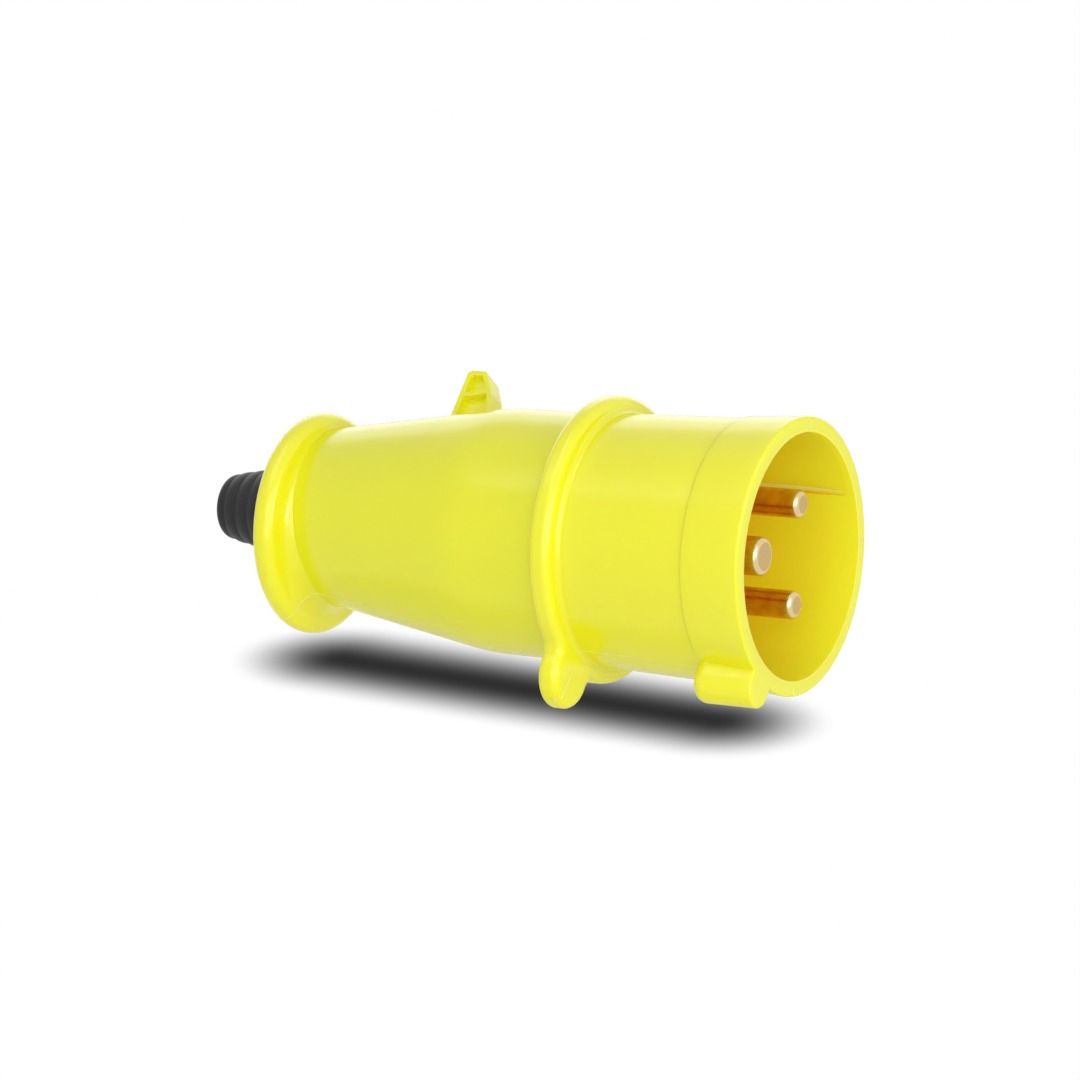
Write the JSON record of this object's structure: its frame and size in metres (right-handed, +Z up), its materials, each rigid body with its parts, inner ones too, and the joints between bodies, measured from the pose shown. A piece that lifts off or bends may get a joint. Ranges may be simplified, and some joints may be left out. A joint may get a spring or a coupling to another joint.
{
  "type": "industrial plug",
  "caption": "Straight industrial plug with a round shroud around its pins, a key and retaining lug on the outside, a conical body and a rubber cable boot.",
  "frame": {"origin": "centre of the mouth, on the axis of the shroud", "axes": "+X out of the mouth along the plug as it lies, +Z up from the surface it lies on; the plug axis rises 3.9 degrees from +X towards +Z, and the key points down and towards -Y"},
  "size_m": [0.1423, 0.0606, 0.0623],
  "materials": {
    "yellow_plastic": "satin moulded plastic",
    "dark_plastic": "matte moulded plastic",
    "brass": "turned",
    "steel": "zinc plated",
    "rubber": "matte"
  },
  "bodies": {
    "root": {"body_seal": "rubber", "boot_ring": "dark_plastic", "cable_boot": "rubber", "clamp_frame": "dark_plastic", "clamp_nut_1": "steel", "clamp_nut_2": "steel", "clamp_saddle": "dark_plastic", "clamp_screw_1": "steel", "clamp_screw_2": "steel", "earth_pin": "brass", "earth_terminal_screw": "steel", "frame_screw": "steel", "front_shroud": "yellow_plastic", "housing_screw_1": "steel", "housing_screw_2": "steel", "live_pin_1": "brass", "live_pin_2": "brass", "live_terminal_screw_1": "steel", "live_terminal_screw_2": "steel", "pin_carrier": "yellow_plastic", "rear_body": "yellow_plastic"}
  },
  "joints": []
}
